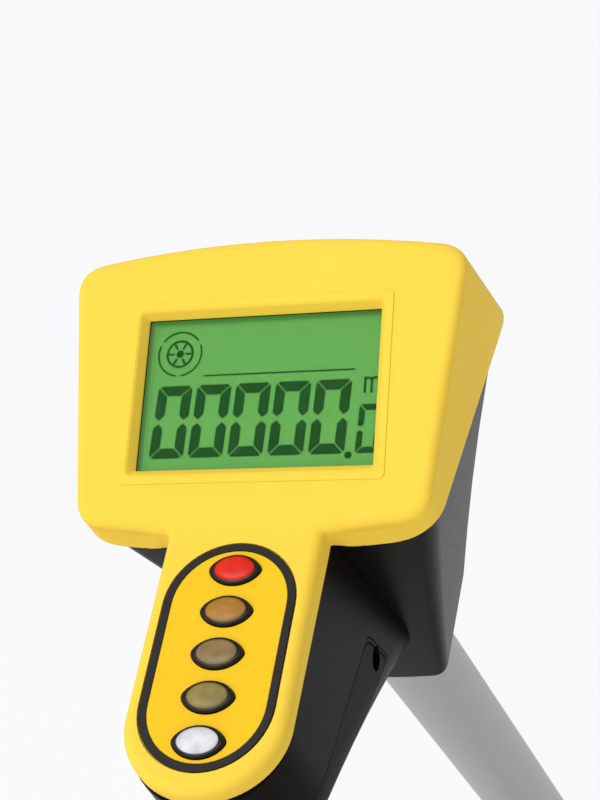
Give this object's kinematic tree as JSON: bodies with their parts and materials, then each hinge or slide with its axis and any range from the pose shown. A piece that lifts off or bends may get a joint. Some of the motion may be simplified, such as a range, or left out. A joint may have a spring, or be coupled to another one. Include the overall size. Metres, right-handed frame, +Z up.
{
  "type": "measuring wheel",
  "caption": "Digital measuring wheel with a pistol grip, a screen and keys, a telescopic pole, a forked wheel and a folding kickstand.",
  "frame": {"origin": "on the floor, at the middle of the whole model's box", "axes": "+Z up, +Y the way the wheel rolls away from its user, +X to the user's right"},
  "size_m": [0.232, 0.597, 1.1247],
  "materials": {
    "yellow_plastic": "satin moulded",
    "keypad_yellow": "fine matt",
    "black_plastic": "fine grained",
    "black_rubber": "matt",
    "tyre_rubber": "matt",
    "grey_aluminium": "matt anodised",
    "zinc_steel": "zinc plated",
    "circuit_board": "solder mask",
    "clear_lens": "clear",
    "lcd_glass": "backlit green",
    "white_plastic": "natural nylon",
    "cell_sleeve": "printed sleeve without text",
    "key_red": "soft touch",
    "key_amber": "soft touch",
    "key_stone": "soft touch",
    "key_olive": "soft touch",
    "key_white": "soft touch"
  },
  "bodies": {
    "handle": {"front_cover": "yellow_plastic", "rear_housing": "black_plastic", "rear_cover": "black_plastic", "grip_shell": "black_plastic", "grip_pad_left": "black_rubber", "grip_pad_right": "black_rubber", "grip_screw": "zinc_steel", "pole_screw": "zinc_steel", "cover_screw_1": "zinc_steel", "cover_screw_2": "zinc_steel", "cover_screw_3": "zinc_steel", "cover_screw_4": "zinc_steel", "screen_lens": "clear_lens", "lcd_panel": "lcd_glass", "backlight": "white_plastic", "main_board": "circuit_board", "keypad_overlay": "keypad_yellow", "keypad_board": "circuit_board", "cell_1": "cell_sleeve", "cell_2": "cell_sleeve", "contact_left": "zinc_steel", "contact_right": "zinc_steel", "upper_tube": "grey_aluminium", "clamp_collar": "black_plastic", "clamp_bolt": "zinc_steel"},
    "lower_pole": {"lower_tube": "grey_aluminium", "tube_glide": "white_plastic", "fork_crown": "black_plastic", "sensor_housing": "black_plastic", "sensor_cable": "black_rubber", "fork_arm_left": "grey_aluminium", "fork_arm_right": "grey_aluminium", "crown_screw_left": "zinc_steel", "crown_screw_right": "zinc_steel", "axle_spacer_left": "zinc_steel", "axle_spacer_right": "zinc_steel", "axle_bolt": "zinc_steel", "axle_nut": "zinc_steel", "stand_bracket": "black_plastic", "stand_pin": "zinc_steel"},
    "wheel": {"wheel_rim": "yellow_plastic", "tyre": "tyre_rubber", "magnet_ring": "black_plastic", "bearing_left": "zinc_steel", "bearing_right": "zinc_steel", "hub_cap_left": "black_plastic", "hub_cap_right": "black_plastic"},
    "kickstand": {"stand_yoke": "black_plastic", "leg_left": "grey_aluminium", "leg_right": "grey_aluminium", "foot_left": "black_rubber", "foot_right": "black_rubber"},
    "clamp_lever": {"clamp_lever": "black_plastic", "lever_pin": "zinc_steel"},
    "battery_door": {"battery_door": "black_plastic"},
    "key_1": {"key_1": "key_red"},
    "key_2": {"key_2": "key_amber"},
    "key_3": {"key_3": "key_stone"},
    "key_4": {"key_4": "key_olive"},
    "key_5": {"key_5": "key_white"}
  },
  "joints": [
    {"name": "pole_slide", "type": "slide", "parent": "handle", "child": "lower_pole", "axis": [0, -0.342, 0.9397], "range_m": [0, 0.22]},
    {"name": "wheel_spin", "type": "hinge", "parent": "lower_pole", "child": "wheel", "pos_m": [0, 0.13959, 0.15915], "axis": [-1, 0, 0], "continuous": true},
    {"name": "kickstand_fold", "type": "hinge", "parent": "lower_pole", "child": "kickstand", "pos_m": [0, 0.03684, 0.35375], "axis": [-1, 0, 0], "range_deg": [0, 130]},
    {"name": "clamp_lever_swing", "type": "hinge", "parent": "handle", "child": "clamp_lever", "pos_m": [0.013, -0.00989, 0.64003], "axis": [0, -0.342, 0.9397], "range_deg": [0, 130]},
    {"name": "battery_door_swing", "type": "hinge", "parent": "handle", "child": "battery_door", "pos_m": [0, -0.13507, 1.06211], "axis": [1, 0, 0], "range_deg": [0, 100]},
    {"name": "key_1_press", "type": "slide", "parent": "handle", "child": "key_1", "axis": [0, 0.1891, -0.982], "range_m": [0, 0.0008], "stiffness_N_per_m": 900, "springref_m": -0.0003},
    {"name": "key_2_press", "type": "slide", "parent": "handle", "child": "key_2", "axis": [0, 0.1891, -0.982], "range_m": [0, 0.0008], "stiffness_N_per_m": 900, "springref_m": -0.0003},
    {"name": "key_3_press", "type": "slide", "parent": "handle", "child": "key_3", "axis": [0, 0.1891, -0.982], "range_m": [0, 0.0008], "stiffness_N_per_m": 900, "springref_m": -0.0003},
    {"name": "key_4_press", "type": "slide", "parent": "handle", "child": "key_4", "axis": [0, 0.1891, -0.982], "range_m": [0, 0.0008], "stiffness_N_per_m": 900, "springref_m": -0.0003},
    {"name": "key_5_press", "type": "slide", "parent": "handle", "child": "key_5", "axis": [0, 0.1891, -0.982], "range_m": [0, 0.0008], "stiffness_N_per_m": 900, "springref_m": -0.0003}
  ]
}
